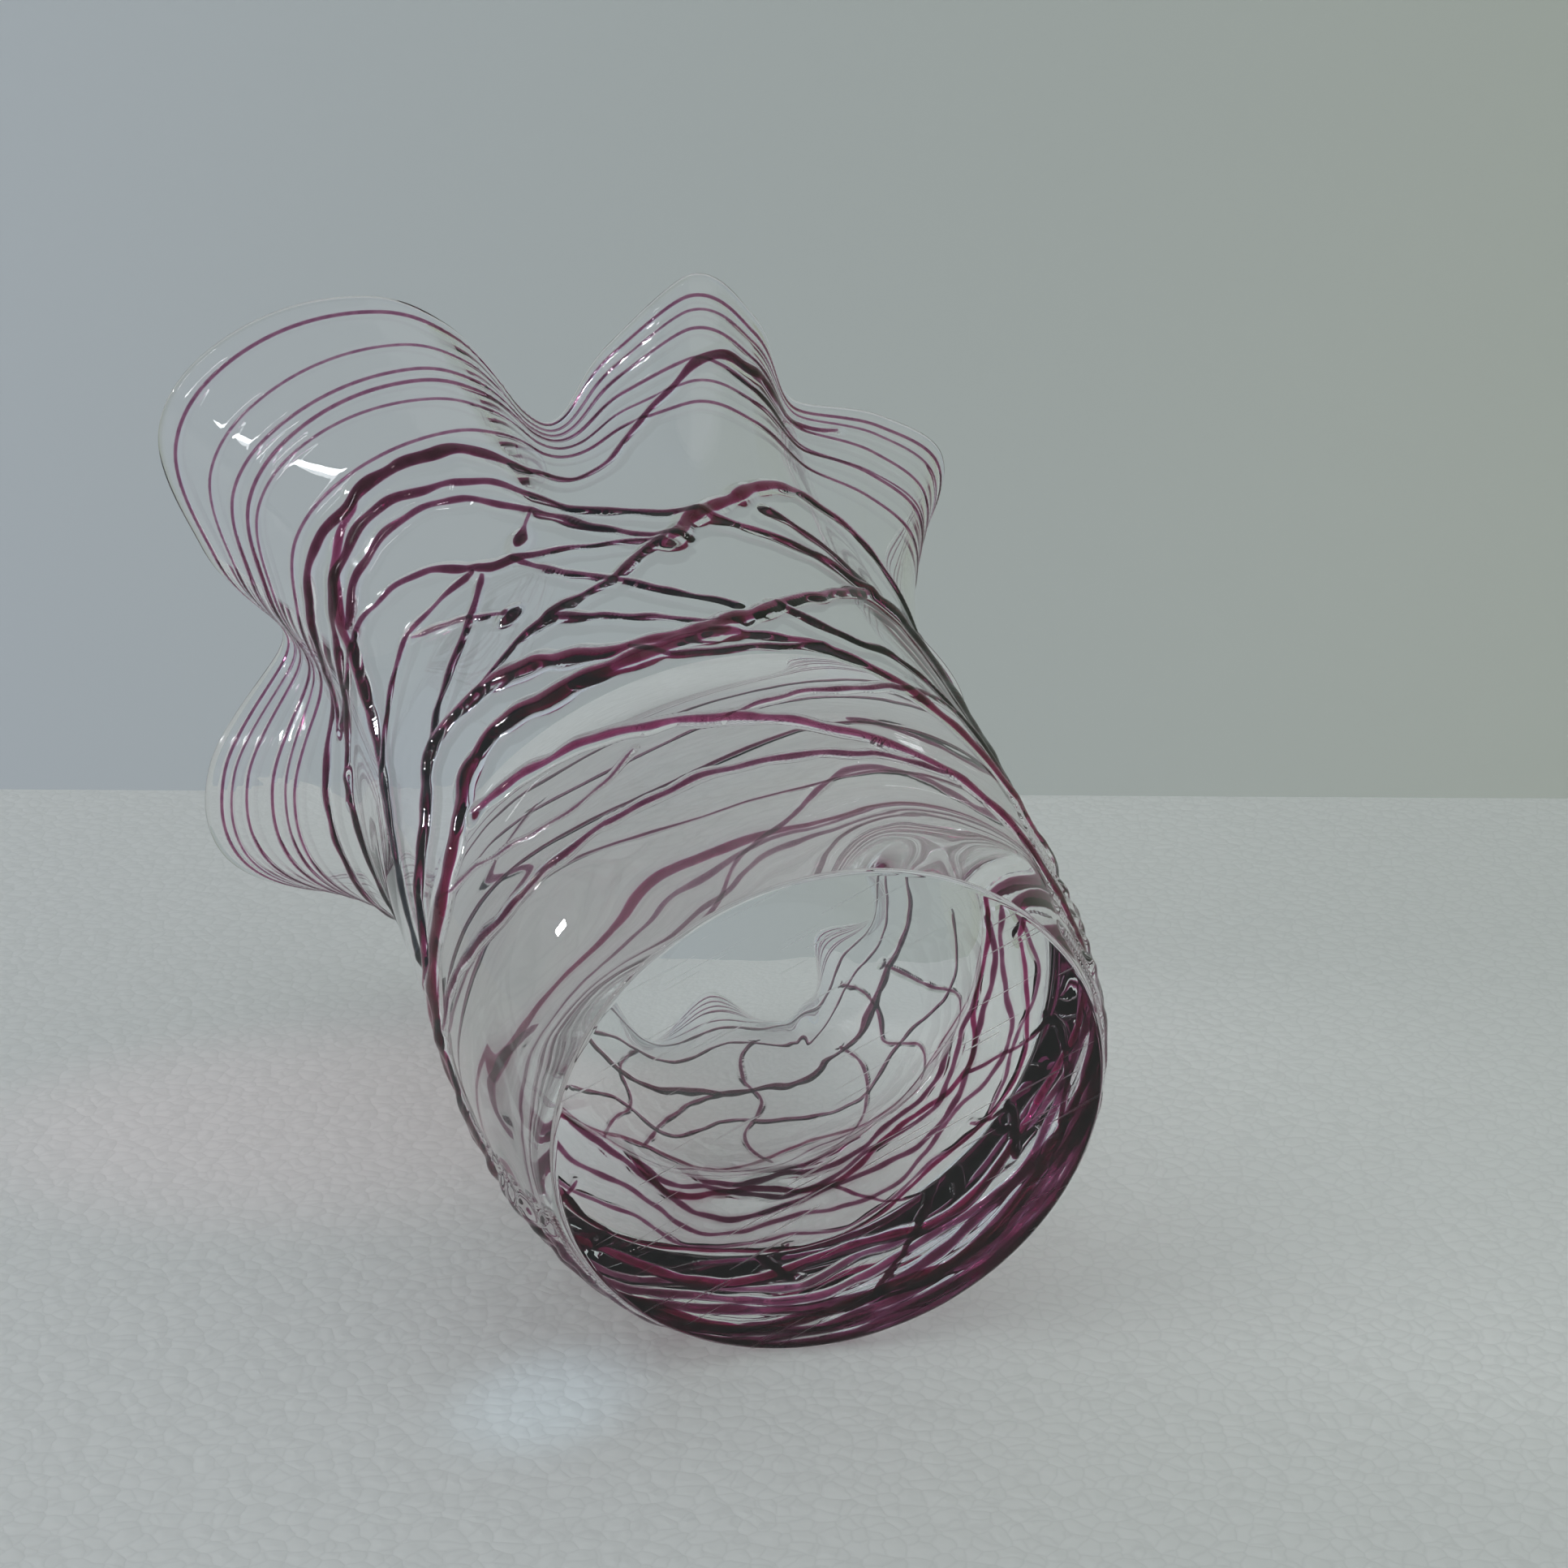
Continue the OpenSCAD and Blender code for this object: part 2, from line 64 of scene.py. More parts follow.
# Trails: (angle, height, width) in degrees and millimetres, as in the CAD part.
TRAILS = {
    "trail_heavy_upper": [(336, 93, 1.6), (315, 76, 1.8), (297, 65, 3.2), (279, 64, 2.8), (262, 74, 3.2),
        (248, 80, 2.2), (235, 80, 2.2), (228, 70, 2.6), (217, 62, 2.4), (207, 50, 2.4)],
    "trail_heavy_lower": [(297, 62, 2.2), (281, 61, 3.2), (265, 62, 3.4), (252, 66, 3.0), (243, 64, 3.2),
        (236, 57, 3.4), (225, 50, 3.4), (211, 48, 3.6), (199, 45, 3.6), (190, 42, 3.4), (185, 28, 3.2),
        (181, 14, 2.8), (177, 6, 2.2)],
    "trail_shoulder_top": [(212, 129, 1.2), (222, 136, 1.4), (231, 138, 1.8), (244, 138, 2.2),
        (259, 138, 2.8), (270, 136, 2.2), (277, 130, 1.4), (284, 128, 1.2), (292, 131, 1.2),
        (300, 139, 1.4), (309, 148, 2.0), (318, 151, 2.4), (327, 152, 1.6), (341, 156, 1.2)],
    "trail_shoulder_mid": [(203, 120, 1.4), (214, 124, 1.8), (230, 130, 2.0), (241, 133, 2.4),
        (254, 134, 2.2), (265, 131, 1.6), (272, 127, 1.4), (279, 118, 1.6), (287, 111, 1.6),
        (295, 107, 1.6), (303, 106, 2.2)],
    "trail_shoulder_low": [(235, 127, 2.2), (246, 130, 1.8), (257, 130, 1.6), (265, 127, 1.4),
        (274, 119, 1.6), (282, 108, 1.6), (290, 100, 1.4), (297, 97, 2.0)],
    "trail_shoulder_side": [(252, 138, 1.8), (241, 133, 2.4), (232, 126, 2.6), (225, 113, 2.2),
        (218, 92, 1.8), (211, 76, 1.6), (206, 60, 1.4)],
    "trail_loop": [(295, 95, 2.4), (303, 106, 3.2), (312, 114, 2.8), (319, 121, 2.2), (330, 125, 1.8),
        (342, 123, 1.6), (354, 115, 1.4), (368, 102, 1.2)],
    "trail_crossing": [(303, 106, 2.4), (311, 102, 1.8), (325, 98, 2.0), (336, 93, 2.6), (345, 92, 2.8),
        (353, 80, 2.6), (358, 66, 2.6), (363, 54, 2.2), (374, 44, 1.8)],
    "trail_right_heavy": [(293, 62, 2.2), (306, 60, 1.8), (313, 58, 2.0), (321, 55, 2.2), (331, 51, 2.4),
        (342, 46, 2.6), (353, 41, 2.6), (366, 36, 2.2)],
    "trail_right_light": [(308, 72, 1.4), (321, 64, 1.6), (330, 65, 1.4), (341, 61, 1.4), (354, 54, 1.6),
        (368, 50, 1.2)],
    "trail_low_main": [(240, 54, 1.6), (250, 51, 1.8), (262, 47, 1.8), (276, 42, 1.8), (294, 36, 1.8),
        (316, 30, 1.8), (332, 27, 2.0), (346, 22, 2.4), (357, 13, 2.4), (364, 7, 1.6)],
    "trail_low_thin": [(288, 37, 0.8), (302, 42, 1.0), (316, 46, 1.2), (328, 52, 1.4), (338, 57, 1.0),
        (350, 60, 0.8)],
    "trail_low_lower": [(203, 42, 1.0), (218, 37, 1.4), (231, 31, 1.4), (244, 28, 1.4), (262, 26, 1.2),
        (286, 25, 1.2), (312, 26, 1.2), (329, 27, 1.0)],
    "strand_a": [(214, 128, 1.2), (229, 126, 1.2), (241, 124, 1.2), (253, 119, 1.4), (261, 111, 2.2),
        (267, 108, 2.0), (280, 101, 1.0), (294, 96, 1.2)],
    "strand_b": [(212, 82, 1.0), (219, 97, 1.2), (230, 107, 1.2), (241, 112, 1.2), (252, 112, 1.2),
        (260, 111, 1.8)],
    "strand_c": [(236, 80, 1.6), (241, 87, 1.2), (247, 92, 1.4), (254, 99, 1.6), (261, 109, 1.4)],
    "strand_dot": [(243, 111, 0.9), (249, 106, 1.0), (255, 100, 1.2), (260, 95, 0.9), (262, 92, 2.0)],
    "strand_d": [(267, 108, 1.4), (274, 96, 1.2), (282, 87, 1.4), (290, 79, 1.2), (301, 71, 1.2)],
    "strand_e": [(250, 79, 1.4), (260, 83, 1.2), (269, 84, 2.4), (276, 86, 1.4), (282, 87, 1.8),
        (290, 94, 1.6), (295, 97, 2.2)],
    "strand_f": [(269, 84, 2.0), (277, 77, 1.4), (286, 71, 1.2), (296, 65, 1.2)],
    "strand_g": [(318, 112, 1.4), (325, 108, 1.6), (332, 102, 1.6), (336, 94, 2.0)],
    "strand_h": [(279, 64, 1.4), (283, 60, 1.6), (292, 57, 1.4), (304, 57, 1.4), (313, 58, 1.6)],
    "strand_j": [(224, 50, 0.7), (236, 44, 0.6), (250, 36, 0.6), (262, 34, 0.7), (272, 38, 0.6)],
    "drip": [(274, 119, 1.2), (272, 116, 0.9), (270, 112, 2.6), (269, 110, 2.0)],
    "back_low": [(199, 44, 2.4), (184, 36, 2.4), (166, 28, 2.8), (146, 32, 3.2), (124, 24, 3.0),
        (100, 30, 3.0), (76, 24, 3.0), (52, 32, 2.6), (28, 28, 2.4), (2, 37.5, 2.2)],
    "back_mid": [(207, 50, 2.4), (192, 54, 2.2), (172, 50, 2.4), (150, 58, 2.8), (126, 50, 2.6),
        (102, 56, 2.4), (78, 46, 2.4), (54, 52, 2.2), (32, 46, 2.0), (14, 44, 1.8)],
    "back_upper": [(207, 121, 1.8), (186, 108, 1.8), (166, 96, 2.0), (144, 88, 2.0), (120, 92, 2.2),
        (96, 84, 2.0), (72, 90, 1.8), (48, 96, 1.6), (26, 98, 1.4), (4, 106, 1.2)],
    "back_shoulder": [(222, 136, 1.4), (204, 132, 1.6), (184, 128, 1.6), (160, 134, 1.8),
        (136, 126, 1.8), (110, 132, 1.6), (84, 124, 1.6), (58, 130, 1.4), (32, 124, 1.4), (8, 120, 1.2)],
    "back_web": [(150, 58, 1.4), (142, 72, 1.2), (132, 84, 1.2), (120, 92, 1.6)],
    "back_link": [(100, 30, 1.6), (92, 42, 1.2), (84, 56, 1.2), (78, 72, 1.2), (80, 91, 1.4)],
    "back_branch": [(52, 32, 1.6), (44, 44, 1.4), (40, 60, 1.2), (46, 78, 1.2), (50, 99, 1.4)],
    "back_net_a": [(176, 66, 1.4), (158, 74, 1.2), (140, 68, 1.4), (122, 76, 1.2), (104, 70, 1.4),
        (84, 64, 1.2), (62, 72, 1.4), (40, 66, 1.2), (20, 74, 1.2)],
    "back_net_b": [(178, 96, 1.0), (156, 112, 1.2), (132, 106, 1.4), (112, 116, 1.2), (90, 104, 1.2),
        (66, 112, 1.2), (44, 108, 1.0), (20, 116, 1.0)],
    "back_riser_a": [(112, 49, 1.4), (116, 66, 1.2), (108, 80, 1.2), (112, 98, 1.2), (104, 116, 1.4)],
    "back_riser_b": [(64, 45, 1.4), (60, 62, 1.2), (68, 78, 1.2), (62, 96, 1.2), (70, 118, 1.2)],
    "back_riser_c": [(166, 45, 1.2), (160, 62, 1.2), (152, 76, 1.2), (156, 94, 1.2), (148, 112, 1.2)],
}

# Heavy trails close together round the back of the heel: (height, waviness, waves, turn, width).
HEEL_WRAPS = [(5.5, 1.2, 3, 0, 2.6), (10.5, 1.6, 4, 70, 3.0), (16, 2.0, 3, 150, 2.8),
              (21.5, 1.8, 5, 220, 3.0), (27, 2.4, 4, 300, 2.6), (33.5, 2.6, 3, 30, 2.8),
              (40, 2.8, 4, 110, 2.2), (47, 3.0, 5, 200, 1.8)]

WRAP_FROM = 184         # the wraps run round the back, between these angles
WRAP_TO = 4
WRAP_STEP = 12

# Clear ripples that the wraps drew up in the back of the heel.
RIPPLES = 16
RIPPLE_FROM = 190
RIPPLE_TO = -10
RIPPLE_W = 1.1
RIPPLE_FIRST = 2.5      # height of the first one
RIPPLE_PITCH = 2.4      # height from one to the next
RIPPLE_LOWEST = 1.0

# Fine threads round the ruffle: (height, waviness, waves, turn of the waves, width).
RIM_THREADS = [(160.5, 0.7, 3, 40, 0.9), (157, 1.2, 2, 120, 0.7), (153, 1.2, 3, 210, 0.8),
               (148.5, 1.6, 2, 300, 0.9), (146, 2.4, 3, 80, 0.7), (140.5, 1.4, 2, 10, 0.8)]
RIM_STEP = 0.6          # degrees between the points of a thread
UNDER_LIP = 1.5         # the threads stay this far below the lip

# How a trail laid by hand swells and wanders. Swells are shares of its width.
STEP = 0.8              # distance between the points of a trail
SWELL = 0.13
SWELL_LENGTH = 12
END_SWELL = 0.45        # the fillet where a trail ends on another
END_SWELL_LENGTH = 1.6
WANDER = 0.3
WANDER_LENGTH = 15
STEADY_END = 6          # the wander dies away over this length at each end

# How a trail sits in the wall. Shares are of its width.
TUBE_SIDES = 12
COVER = 0.12            # clear skin left over a trail
DEPTH_SHARE = 0.30      # half the thickness of a trail
BREADTH_SHARE = 0.40    # half its breadth under the skin, whose ridge magnifies it
RELIEF_SHARE = 0.36     # height of the ridge over it
RELIEF_REACH = 1.1      # half the breadth of the ridge
TIP_SHARE = 0.4         # the width left at an open end
TIP_POINTS = 3          # the points over which an open end tapers

# How uneven the skins of the body are.
OUTER_UNEVEN = 0.06
INNER_UNEVEN = 0.13
BOWL_UNEVEN = 0.20
UNEVEN_FADE = 12        # it fades out over this height, outside at the foot and inside at the lip
RELIEF_FADE = 2         # the ridges fade out over this height at the foot
WAVES = 14
OUTER_MOST_ROUND = 9    # the most whole waves round the vase
INNER_MOST_ROUND = 7

# The rings on the flat of the foot lie from EDGE_FROM to EDGE_TO inside its radius.
EDGE_FROM = 1.2
EDGE_TO = 0.4
EDGE_RINGS = 3
FIRST_RING = 0.0015     # height of the first ring of the outer skin, as a share of the vase's
LIP_STEP = 15           # degrees between the rings round the lip
BOWL_STEP = 1.5         # degrees between the rings of the well's bowl

BODY_GRID = (1080, 560)         # columns and rows of the body's outer skin
RELIEF_GRID = (2400, 1400)


# ---------------------------------------------------------------- the blown shape

def smooth(x):
    x = np.clip(x, 0, 1)
    return x * x * (3 - 2 * x)


_lip_a = np.r_[LIP[-2:, 0] - 360, LIP[:, 0], LIP[:2, 0] + 360]
_lip_v = np.r_[LIP[-2:, 1], LIP[:, 1], LIP[:2, 1]]
_lip_t = np.zeros_like(_lip_v)
_lip_t[1:-1] = (_lip_v[2:] - _lip_v[:-2]) / (_lip_a[2:] - _lip_a[:-2])


def lip_r(a):
    """The lip's radius at angle a: a smooth closed curve through LIP."""
    a = np.mod(np.asarray(a, float) - _lip_a[1], 360) + _lip_a[1]
    i = np.clip(np.searchsorted(_lip_a, a, side="right") - 1, 1, len(_lip_a) - 3)
    h = _lip_a[i + 1] - _lip_a[i]
    t = (a - _lip_a[i]) / h
    return (_lip_v[i] * (1 + 2 * t) * (1 - t) ** 2 + _lip_t[i] * h * t * (1 - t) ** 2
            + _lip_v[i + 1] * t * t * (3 - 2 * t) + _lip_t[i + 1] * h * t * t * (t - 1))


def lip_z(a):
    return VASE_H - LOBE_DROP * smooth((lip_r(a) - VALLEY_R) / (LOBE_TOP_R - VALLEY_R))


def bubble_r(z):
    return BASE_R + HEEL_SWELL * (1 - np.exp(-z / HEEL_H)) + BODY_FLARE * z / VASE_H


def skin(a, h):
    """Points of the outer skin in millimetres: angle a, height h counted along the ruffle above the neck."""
    a, h = np.broadcast_arrays(np.asarray(a, float), np.asarray(h, float))
    t = np.maximum(0, (h - NECK_H) / (VASE_H - NECK_H))
    z = np.where(h <= NECK_H, h, NECK_H + (lip_z(a) - NECK_H) * t)
    r = bubble_r(z) + (lip_r(a) - bubble_r(lip_z(a))) * t * t
    p = np.radians(a)
    return np.stack([r * np.cos(p) - LEAN * smooth(z / HEEL_H), r * np.sin(p), z], -1)


def unit(v):
    return v / np.linalg.norm(v, axis=-1, keepdims=True)


NUDGE = 0.25     # how far to either side a slope is measured, in degrees or millimetres


def skin_up(a, h):
    return unit(skin(a, np.asarray(h) + NUDGE) - skin(a, np.asarray(h) - NUDGE))


def skin_out(a, h):
    around = skin(np.asarray(a) + NUDGE, h) - skin(np.asarray(a) - NUDGE, h)
    return unit(np.cross(around, skin_up(a, h)))


# ---------------------------------------------------------------- small unevenness of work done by hand

CHANCE = np.random.default_rng(20)
WAVE_RATES = (0.02, 0.16)         # radians per millimetre of height
WANDER_SHARES = (0.6, 1.0, 1.7)   # lengths of the three waves in a wander


def chance_waves(count, most_round):
    """Waves for uneven(): (whole waves round the vase, radians per millimetre of height, start)."""
    waves = []
    for _ in range(count):
        waves.append((int(CHANCE.integers(0, most_round + 1)), CHANCE.uniform(*WAVE_RATES),
                      CHANCE.uniform(0, 2 * math.pi)))
    return waves


def uneven(a, h, waves):
    """A smooth unevenness of about -1 to 1 over the angle and the height."""
    total = sum(np.sin(k * np.radians(a) + f * h + start) for k, f, start in waves)
    return total / math.sqrt(len(waves))


def wander(s, length):
    """A smooth wander of about -1 to 1 along a trail, with swells about as long as length."""
    total = np.zeros_like(s)
    for share in WANDER_SHARES:
        total += np.sin(2 * math.pi * s / (length * share) + CHANCE.uniform(0, 2 * math.pi))
    return total / math.sqrt(len(WANDER_SHARES))


# ---------------------------------------------------------------- camera, floor, wall and light

CAMERA = Vector((17.56, -275.87, -345.9)) * MM
LOOK = Vector((0.0, 0.5377, 0.84314)).normalized()
UP = Vector((0.48548, -0.73711, 0.47008)).normalized()
RIGHT = LOOK.cross(UP).normalized()
PITCH = math.radians(19.5)
WORLD_UP = (UP * math.cos(PITCH) - LOOK * math.sin(PITCH)).normalized()
AHEAD = (LOOK * math.cos(PITCH) + UP * math.sin(PITCH)).normalized()
FLOOR_DROP = 44.0 * MM
LENS_MM = 68.94
SENSOR_MM = 36.0
FLOOR_END = 0.663           # the floor's far edge, in metres ahead of the camera
WALL_GAP = 0.25             # the wall stands this far behind that edge
ROOM_HALF_WIDTH = 2.0
FLOOR_HALF_DEPTH = 1.2
WALL_FOOT = -0.2
WALL_TOP = 2.0
BACKDROP_TURN = math.radians(-1.0)
SHADE_REACH = 0.4           # the floor's and the wall's painted light colours change over this far to either side
WHITE = (1.0, 0.99, 0.97)
COOL = (0.95, 0.98, 1.0)


def room_matrix():
    """The room's axes in the part's frame: X to the camera's right, Y ahead, Z straight up off the floor."""
    m = Matrix((RIGHT, AHEAD, WORLD_UP)).transposed().to_4x4()
    m.translation = WORLD_UP * -FLOOR_DROP
    return m


ROOM = room_matrix()
CAMERA_IN_ROOM = ROOM.inverted() @ CAMERA


def add_camera():
    data = bpy.data.cameras.new("camera")
    data.sensor_width = SENSOR_MM
    data.lens = LENS_MM
    data.clip_start = 0.01
    camera = bpy.data.objects.new("camera", data)
    bpy.context.scene.collection.objects.link(camera)
    m = Matrix((RIGHT, UP, -LOOK)).transposed().to_4x4()
    m.translation = CAMERA
    camera.matrix_world = m
    bpy.context.scene.camera = camera


def mesh_object(name, points, faces, material):
    mesh = bpy.data.meshes.new(name)
    mesh.from_pydata([tuple(p) for p in points], [], [tuple(f) for f in faces])
    mesh.update()
    mesh.polygons.foreach_set("use_smooth", [True] * len(mesh.polygons))
    o = bpy.data.objects.new(name, mesh)
    bpy.context.scene.collection.objects.link(o)
    o.data.materials.append(material)
    return o


def ring_faces(rings, sides, closed):
    """Quads between rings of points. closed joins the last to the first, or else each end gets a face."""
    i = np.arange(rings if closed else rings - 1)[:, None]
    j = np.arange(sides)[None, :]
    k = (j + 1) % sides
    m = (i + 1) % rings
    quads = np.stack([i * sides + j, i * sides + k, m * sides + k, m * sides + j], -1)
    faces = quads.reshape(-1, 4).tolist()
    if not closed:
        faces.append(list(range(sides))[::-1])
        faces.append([(rings - 1) * sides + side for side in range(sides)])
    return faces


def nodes_of(material):
    material.use_nodes = True
    tree = material.node_tree
    return tree.nodes, tree.links, tree.nodes["Principled BSDF"], tree.nodes["Material Output"]


def mapped(n, link, value, start, end, low=0.0, high=1.0):
    """A number that runs from low to high while value runs from start to end."""
    node = n.new("ShaderNodeMapRange")
    node.inputs["From Min"].default_value = start
    node.inputs["From Max"].default_value = end
    node.inputs["To Min"].default_value = low
    node.inputs["To Max"].default_value = high
    link.new(value, node.inputs["Value"])
    return node.outputs["Result"]


def combined(n, link, operation, first, second):
    """Two numbers put together, such as the greater of them or their product."""
    node = n.new("ShaderNodeMath")
    node.operation = operation
    link.new(first, node.inputs[0])
    link.new(second, node.inputs[1])
    return node.outputs["Value"]


def painted_light_across(n, link, coords, left, right):
    """Painted light: a colour that runs from left to right of the room, standing in for the light's colour
    changing across it.
    """
    axes = n.new("ShaderNodeSeparateXYZ")
    link.new(coords.outputs["Object"], axes.inputs["Vector"])
    shade = n.new("ShaderNodeValToRGB")
    shade.color_ramp.elements[0].color = left
    shade.color_ramp.elements[1].color = right
    link.new(mapped(n, link, axes.outputs["X"], -SHADE_REACH, SHADE_REACH), shade.inputs["Fac"])
    return shade


BEADS_PER_METRE = 340.0
SEAM_WIDTH = 0.12       # as a share of a bead
# Painted shade: the colour is multiplied down to this in the sunken seams between the beads.
SEAM_SHADE = 0.94


def floor_material():
    """A sheet of pressed polystyrene: beads about 3 mm across with thin sunken seams between them, darkened
    as painted shade, and a colour that changes across the room as painted light.
    """
    m = bpy.data.materials.new("polystyrene_sheet")
    n, link, shader, _ = nodes_of(m)
    shader.inputs["Roughness"].default_value = 0.55
    coords = n.new("ShaderNodeTexCoord")
    # Painted light: the sheet's colour turns slightly greener towards the right, standing in for the light
    # across the room.
    painted_light_tint = painted_light_across(n, link, coords, (0.80, 0.81, 0.80, 1), (0.80, 0.83, 0.79, 1))
    bend = n.new("ShaderNodeTexNoise")
    bend.inputs["Scale"].default_value = 160.0
    link.new(coords.outputs["Object"], bend.inputs["Vector"])
    bent = n.new("ShaderNodeMix")
    bent.data_type = "VECTOR"
    bent.inputs["Factor"].default_value = 0.004
    link.new(coords.outputs["Object"], bent.inputs["A"])
    link.new(bend.outputs["Color"], bent.inputs["B"])
    beads = n.new("ShaderNodeTexVoronoi")
    beads.inputs["Scale"].default_value = BEADS_PER_METRE
    seams = n.new("ShaderNodeTexVoronoi")
    seams.feature = "DISTANCE_TO_EDGE"
    seams.inputs["Scale"].default_value = BEADS_PER_METRE
    for cells in (beads, seams):
        link.new(bent.outputs["Result"], cells.inputs["Vector"])
    # Painted shade: the colour darkens to SEAM_SHADE towards the sunken seams between the beads.
    painted_seam_shade = mapped(n, link, seams.outputs["Distance"], 0.0, SEAM_WIDTH, low=SEAM_SHADE)
    darker = n.new("ShaderNodeMix")
    darker.data_type = "RGBA"
    darker.blend_type = "MULTIPLY"
    darker.inputs["Factor"].default_value = 1.0
    link.new(painted_light_tint.outputs["Color"], darker.inputs["A"])
    link.new(painted_seam_shade, darker.inputs["B"])
    link.new(darker.outputs["Result"], shader.inputs["Base Color"])
    bump = n.new("ShaderNodeBump")
    bump.inputs["Strength"].default_value = 0.45
    bump.inputs["Distance"].default_value = 0.0005
    bump.invert = True
    link.new(beads.outputs["Distance"], bump.inputs["Height"])
    link.new(bump.outputs["Normal"], shader.inputs["Normal"])
    return one_sided(m)


def one_sided(m):
    """Seen from behind, the surface isn't there, so views from below the floor still show the vase."""
    n, link, shader, out = nodes_of(m)
    side = n.new("ShaderNodeNewGeometry")
    clear = n.new("ShaderNodeBsdfTransparent")
    mix = n.new("ShaderNodeMixShader")
    link.new(side.outputs["Backfacing"], mix.inputs["Fac"])
    link.new(shader.outputs["BSDF"], mix.inputs[1])
    link.new(clear.outputs["BSDF"], mix.inputs[2])
    link.new(mix.outputs["Shader"], out.inputs["Surface"])
    return m


def wall_material():
    m = bpy.data.materials.new("backdrop")
    n, link, shader, _ = nodes_of(m)
    coords = n.new("ShaderNodeTexCoord")
    # Painted light: the wall runs from cool blue-grey on the left to warmer yellow-grey on the right,
    # standing in for the light's colour across the room.
    shade = painted_light_across(n, link, coords, (0.58, 0.63, 0.69, 1), (0.58, 0.62, 0.51, 1))
    link.new(shade.outputs["Color"], shader.inputs["Base Color"])
    shader.inputs["Roughness"].default_value = 0.9
    return one_sided(m)


def put_ahead(o, distance):
    """Stands an object in the room, a distance ahead of the camera."""
    place = Matrix.Translation((CAMERA_IN_ROOM.x, CAMERA_IN_ROOM.y + distance, 0))
    o.matrix_world = ROOM @ place @ Matrix.Rotation(BACKDROP_TURN, 4, "Z")


def add_room():
    x = ROOM_HALF_WIDTH
    y = FLOOR_HALF_DEPTH
    one_face = [(0, 1, 2, 3)]
    floor = mesh_object("floor", [(-x, -y, 0), (x, -y, 0), (x, y, 0), (-x, y, 0)], one_face, floor_material())
    put_ahead(floor, FLOOR_END - FLOOR_HALF_DEPTH)
    low = WALL_FOOT
    top = WALL_TOP
    wall = mesh_object("backdrop", [(-x, 0, low), (x, 0, low), (x, 0, top), (-x, 0, top)], one_face,
                       wall_material())
    put_ahead(wall, FLOOR_END + WALL_GAP)


def add_light(name, kind, at, target, power, color):
    """A light at one point of the room that shines at another."""
    data = bpy.data.lights.new(name, kind)
    data.energy = power
    data.color = color
    o = bpy.data.objects.new(name, data)
    bpy.context.scene.collection.objects.link(o)
    back = (Vector(at) - Vector(target)).normalized()
    o.matrix_world = ROOM @ Matrix.Translation(at) @ back.to_track_quat("Z", "Y").to_matrix().to_4x4()
    return o


def area_light(name, at, target, size, power, color):
    o = add_light(name, "AREA", at, target, power, color)
    o.data.shape = "RECTANGLE"
    o.data.size = size[0]
    o.data.size_y = size[1]
    return o


def glow_on_floor(name, point, source, breadth_deg, power, color):
    """Stands for a patch of light that the vase throws on the floor, too sharp for the renderer to find."""
    o = add_light(name, "SPOT", source, point, power, color)
    o.data.spot_size = math.radians(breadth_deg)
    o.data.spot_blend = 1.0
    o.data.shadow_soft_size = 0.005
    hide_reflection(o)


def hide_reflection(o):
    """Keeps a light from showing in the glass, as a reflection or through it."""
    o.visible_glossy = False
    o.visible_transmission = False


def add_lights():
    middle = ROOM.inverted() @ Vector((0, 0, 80 * MM))
    area_light("ceiling", middle + Vector((0.45, 0.10, 1.3)), middle, size=(1.8, 1.8), power=2.4, color=WHITE)
    card = area_light("card_left", middle + Vector((-1.0, -0.35, 0.35)), middle, size=(0.8, 0.5), power=2.6,
                      color=WHITE)
    hide_reflection(card)
    left = area_light("window_left", middle + Vector((-1.1, 0.28, 0.40)), middle, size=(0.04, 0.08),
                      power=1.6, color=COOL)
    behind = area_light("window_behind", middle + Vector((-0.70, -0.95, 0.45)), middle, size=(0.03, 0.60),
                        power=1.6, color=COOL)
    left.visible_diffuse = False
    behind.visible_diffuse = False
    glow_on_floor("glow_cool", point=(-0.043, -0.005, 0), source=(-0.30, -0.35, 0.50), breadth_deg=2.8,
                  power=3.4, color=(0.55, 0.8, 1.0))
    glow_on_floor("glow_warm", point=(-0.095, 0.090, 0), source=(-0.50, 0.05, 0.35), breadth_deg=11,
                  power=1.3, color=(1.0, 0.55, 0.6))
    world = bpy.data.worlds.new("world")
    world.use_nodes = True
    sky = world.node_tree.nodes["Background"]
    sky.inputs["Color"].default_value = (0.80, 0.84, 0.88, 1)
    sky.inputs["Strength"].default_value = 0.57
    bpy.context.scene.world = world


# ---------------------------------------------------------------- glass

SCRATCHES_ALONG = 45        # how fine the pattern is along a scratch and across it, per metre
SCRATCHES_ACROSS = 1500
SCRATCH_FROM = 0.69         # a scratch shows where the noise passes from one value to the other
SCRATCH_TO = 0.72
WORN_HEIGHT = 0.3 * MM      # the foot is worn up to this height
WORN_ROUGHNESS = 0.30


def scratches(n, link, angle, coords):
    """Fine straight scratches running at one angle: 1 on a scratch, 0 elsewhere."""
    place = n.new("ShaderNodeMapping")
    place.inputs["Rotation"].default_value = (0, 0, math.radians(angle))
    place.inputs["Scale"].default_value = (SCRATCHES_ALONG, SCRATCHES_ACROSS, 1)
    link.new(coords.outputs["Object"], place.inputs["Vector"])
    noise = n.new("ShaderNodeTexNoise")
    noise.inputs["Scale"].default_value = 1.0
    noise.inputs["Detail"].default_value = 1.0
    link.new(place.outputs["Vector"], noise.inputs["Vector"])
    return mapped(n, link, noise.outputs["Fac"], SCRATCH_FROM, SCRATCH_TO)


